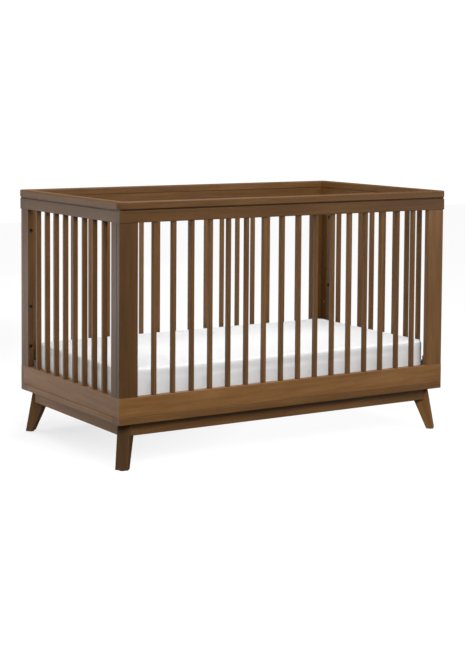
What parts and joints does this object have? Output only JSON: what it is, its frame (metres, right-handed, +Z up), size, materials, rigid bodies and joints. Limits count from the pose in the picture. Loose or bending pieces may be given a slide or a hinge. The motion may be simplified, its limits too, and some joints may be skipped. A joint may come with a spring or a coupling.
{
  "type": "baby crib",
  "caption": "Slatted wooden baby crib with a capped top edge, splayed diagonal legs, a height-adjustable wire mattress base and a mattress in a white sheet.",
  "frame": {"origin": "on the floor under the middle of the crib", "axes": "+X along the crib to the right seen from the front, +Y to the rear panel, +Z up"},
  "size_m": [1.388, 0.778, 0.898],
  "materials": {
    "walnut_stain": "walnut stain under satin lacquer",
    "beech": "raw sanded beech",
    "zinc_steel": "zinc plated",
    "black_steel": "black oxide",
    "coated_steel": "satin grey powder coat",
    "nylon": "moulded matt",
    "mattress_foam": "woven mattress ticking",
    "cotton_sheet": "plain woven white cotton"
  },
  "bodies": {
    "crib_frame": {"front_top_cap": "walnut_stain", "rear_top_cap": "walnut_stain", "left_top_cap": "walnut_stain", "right_top_cap": "walnut_stain", "front_top_rail": "walnut_stain", "rear_top_rail": "walnut_stain", "left_top_rail": "walnut_stain", "right_top_rail": "walnut_stain", "front_bottom_rail": "walnut_stain", "rear_bottom_rail": "walnut_stain", "left_bottom_rail": "walnut_stain", "right_bottom_rail": "walnut_stain", "front_left_post": "walnut_stain", "front_right_post": "walnut_stain", "rear_left_post": "walnut_stain", "rear_right_post": "walnut_stain", "left_end_front_post": "walnut_stain", "left_end_rear_post": "walnut_stain", "right_end_front_post": "walnut_stain", "right_end_rear_post": "walnut_stain", "front_slats": "walnut_stain", "rear_slats": "walnut_stain", "left_end_slats": "walnut_stain", "right_end_slats": "walnut_stain", "front_base_board": "walnut_stain", "rear_base_board": "walnut_stain", "left_base_board": "walnut_stain", "right_base_board": "walnut_stain", "front_apron": "walnut_stain", "rear_apron": "walnut_stain", "left_apron": "walnut_stain", "right_apron": "walnut_stain", "front_left_leg": "walnut_stain", "front_right_leg": "walnut_stain", "rear_left_leg": "walnut_stain", "rear_right_leg": "walnut_stain", "corner_braces": "beech", "foot_glides": "nylon", "panel_bolts": "black_steel", "panel_bolt_inserts": "zinc_steel", "post_dowels": "beech", "cap_screws": "zinc_steel", "base_screws": "zinc_steel", "apron_screws": "zinc_steel", "leg_bolts": "zinc_steel", "leg_inserts": "zinc_steel", "hanger_inserts": "zinc_steel", "hanger_bolts": "black_steel"},
    "mattress_base": {"deck_front_angle": "coated_steel", "deck_rear_angle": "coated_steel", "deck_left_angle": "coated_steel", "deck_right_angle": "coated_steel", "deck_gussets": "coated_steel", "hanger_brackets": "coated_steel", "hanger_rivets": "coated_steel", "deck_cross_wires": "coated_steel", "deck_long_wires": "coated_steel"},
    "bedding": {"mattress": "mattress_foam", "fitted_sheet": "cotton_sheet"}
  },
  "joints": [
    {"name": "deck_height", "type": "slide", "parent": "crib_frame", "child": "mattress_base", "axis": [0, 0, 1], "range_m": [0, 0.284]},
    {"name": "mattress_lift", "type": "slide", "parent": "mattress_base", "child": "bedding", "axis": [0, 0, 1], "range_m": [0, 0.75]}
  ]
}
